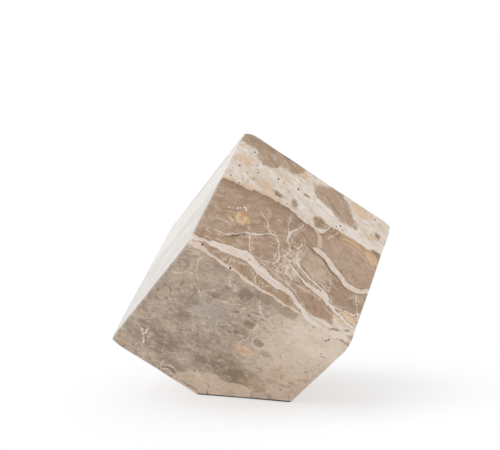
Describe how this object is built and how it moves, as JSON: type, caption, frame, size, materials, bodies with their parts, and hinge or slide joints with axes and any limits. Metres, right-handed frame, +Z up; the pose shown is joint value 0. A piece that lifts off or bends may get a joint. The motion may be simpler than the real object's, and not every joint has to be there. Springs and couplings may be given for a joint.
{
  "type": "marble cube sculpture",
  "caption": "Solid cube of veined brown marble that stands tilted on a corner sawn off flat, as a table ornament or bookend.",
  "frame": {"origin": "middle of the sawn base triangle, on the surface that the block stands on", "axes": "+Z up, square to the sawn base; -Y towards the viewer of the two front faces; +X to that viewer's right, with the front ridge turned 6 degrees from it in plan"},
  "size_m": [0.2007, 0.1873, 0.1874],
  "materials": {
    "marble": "satin"
  },
  "bodies": {
    "root": {"marble_cube": "marble"}
  },
  "joints": []
}
